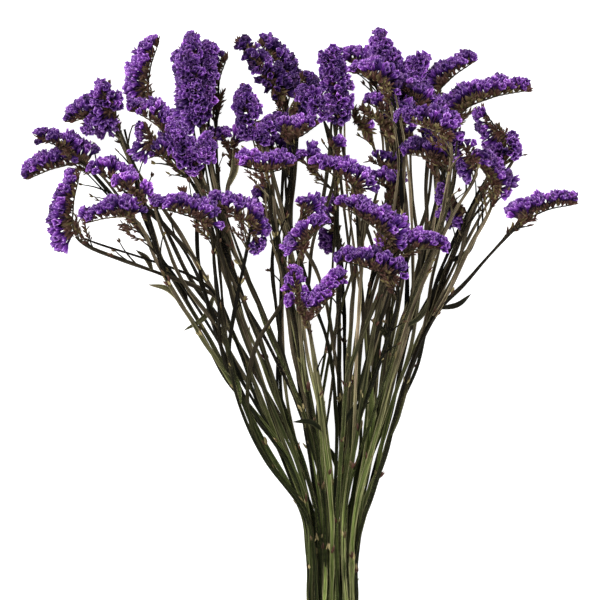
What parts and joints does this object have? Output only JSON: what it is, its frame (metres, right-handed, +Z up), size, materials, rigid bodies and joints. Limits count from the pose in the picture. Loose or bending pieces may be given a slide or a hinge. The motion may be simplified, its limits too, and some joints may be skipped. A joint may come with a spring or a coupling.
{
  "type": "bunch of dried statice",
  "caption": "Bunch of dried statice lying down: thin winged stems tied with twine near their cut ends, fanning out to one-sided heads of papery violet calyces.",
  "frame": {"origin": "on the surface that the bunch lies on, under the middle of its box", "axes": "+Y along the stems from the cut ends to the flowers, +X across the bunch to the right with the flowers away from the viewer, +Z up from the surface"},
  "size_m": [0.468, 0.5354, 0.1429],
  "materials": {
    "stem_green": "dry, matte, finely ridged; green low down, turning olive and grey-brown towards the heads",
    "calyx_purple": "papery and matte, finely pleated, violet with paler lilac rims and dark throats",
    "twine_tan": "matte twisted plant fibre, undyed"
  },
  "bodies": {
    "root": {"calyces_low_1a": "calyx_purple", "calyces_low_1b": "calyx_purple", "calyces_low_1c": "calyx_purple", "calyces_low_2a": "calyx_purple", "calyces_low_2b": "calyx_purple", "calyces_low_2c": "calyx_purple", "calyces_low_2d": "calyx_purple", "calyces_low_2e": "calyx_purple", "calyces_low_3a": "calyx_purple", "calyces_low_3b": "calyx_purple", "calyces_low_3c": "calyx_purple", "calyces_low_3d": "calyx_purple", "calyces_low_4a": "calyx_purple", "calyces_low_4b": "calyx_purple", "calyces_low_4c": "calyx_purple", "calyces_low_4d": "calyx_purple", "calyces_low_4e": "calyx_purple", "calyces_middle_1a": "calyx_purple", "calyces_middle_1b": "calyx_purple", "calyces_middle_1c": "calyx_purple", "calyces_middle_1d": "calyx_purple", "calyces_middle_1e": "calyx_purple", "calyces_middle_2a": "calyx_purple", "calyces_middle_2b": "calyx_purple", "calyces_middle_2c": "calyx_purple", "calyces_middle_3a": "calyx_purple", "calyces_middle_3b": "calyx_purple", "calyces_middle_3c": "calyx_purple", "calyces_middle_4a": "calyx_purple", "calyces_middle_4b": "calyx_purple", "calyces_middle_4c": "calyx_purple", "calyces_middle_4d": "calyx_purple", "calyces_middle_5a": "calyx_purple", "calyces_middle_5b": "calyx_purple", "calyces_top_1a": "calyx_purple", "calyces_top_1b": "calyx_purple", "calyces_top_1c": "calyx_purple", "calyces_top_1d": "calyx_purple", "calyces_top_2a": "calyx_purple", "calyces_top_2b": "calyx_purple", "calyces_top_2c": "calyx_purple", "calyces_top_2d": "calyx_purple", "calyces_top_2e": "calyx_purple", "calyces_top_2f": "calyx_purple", "calyces_top_2g": "calyx_purple", "calyces_top_3a": "calyx_purple", "calyces_top_3b": "calyx_purple", "stem_low_1": "stem_green", "stem_low_2": "stem_green", "stem_low_3": "stem_green", "stem_low_4": "stem_green", "stem_middle_1": "stem_green", "stem_middle_2": "stem_green", "stem_middle_3": "stem_green", "stem_middle_4": "stem_green", "stem_middle_5": "stem_green", "stem_top_1": "stem_green", "stem_top_2": "stem_green", "stem_top_3": "stem_green", "twine_tie": "twine_tan"}
  },
  "joints": []
}
